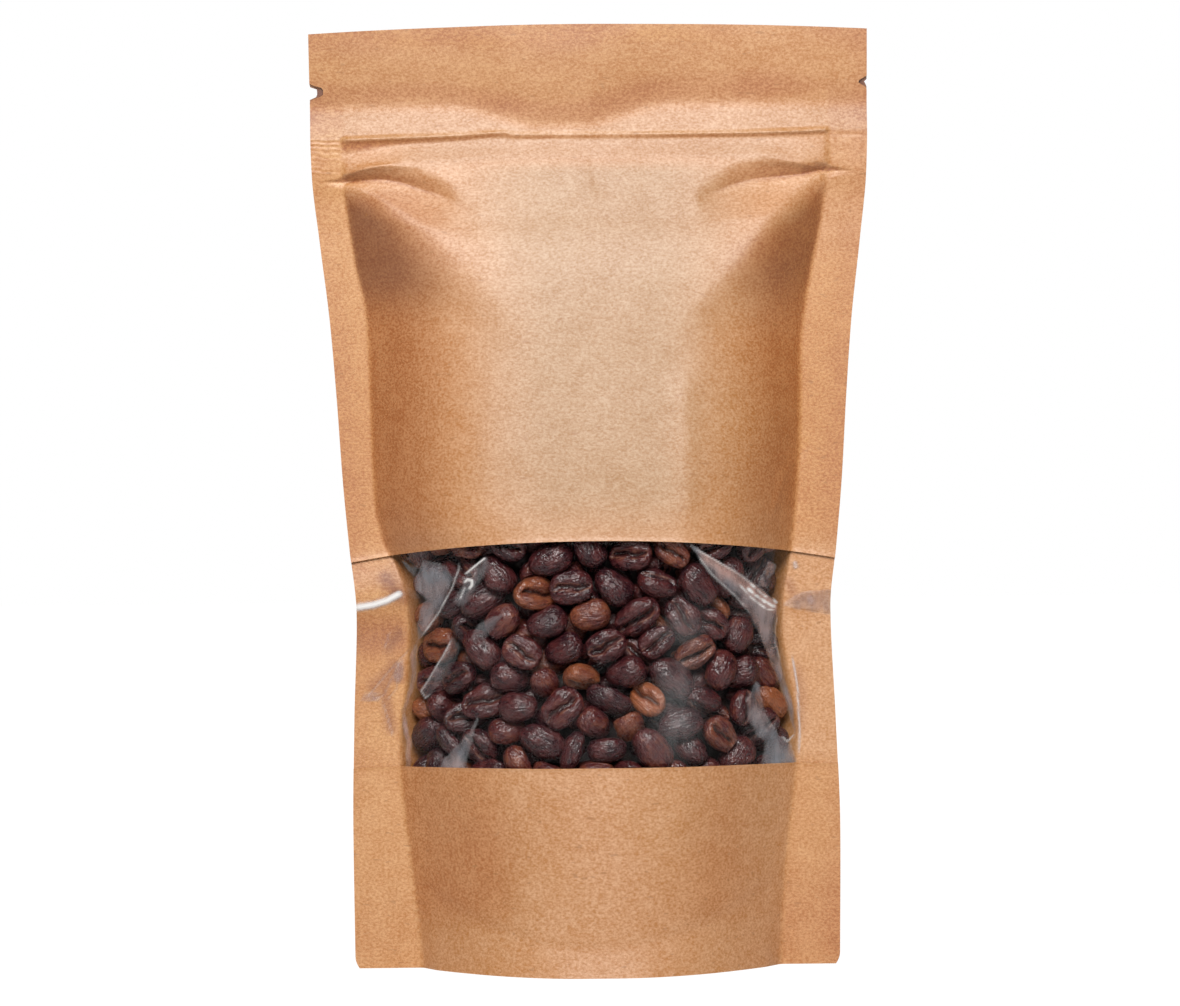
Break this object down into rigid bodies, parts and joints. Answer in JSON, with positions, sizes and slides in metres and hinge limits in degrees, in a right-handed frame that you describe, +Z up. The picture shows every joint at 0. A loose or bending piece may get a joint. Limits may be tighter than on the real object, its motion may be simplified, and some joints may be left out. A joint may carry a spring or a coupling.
{
  "type": "coffee bag",
  "caption": "Stand-up kraft paper pouch with side seals, a zip ridge, a folded base and a full-width clear window over roasted coffee beans.",
  "frame": {"origin": "on the ground, under the middle of the pouch", "axes": "+Z up along the pouch's height, -Y out of the front with the window, +X to the right as seen by someone facing the window"},
  "size_m": [0.12, 0.0435, 0.2025],
  "materials": {
    "kraft": "matt brown kraft",
    "film": "clear gloss film",
    "beans": "satin dark roast"
  },
  "bodies": {
    "root": {"paper_pouch": "kraft", "window_film": "film", "coffee_beans": "beans"}
  },
  "joints": []
}
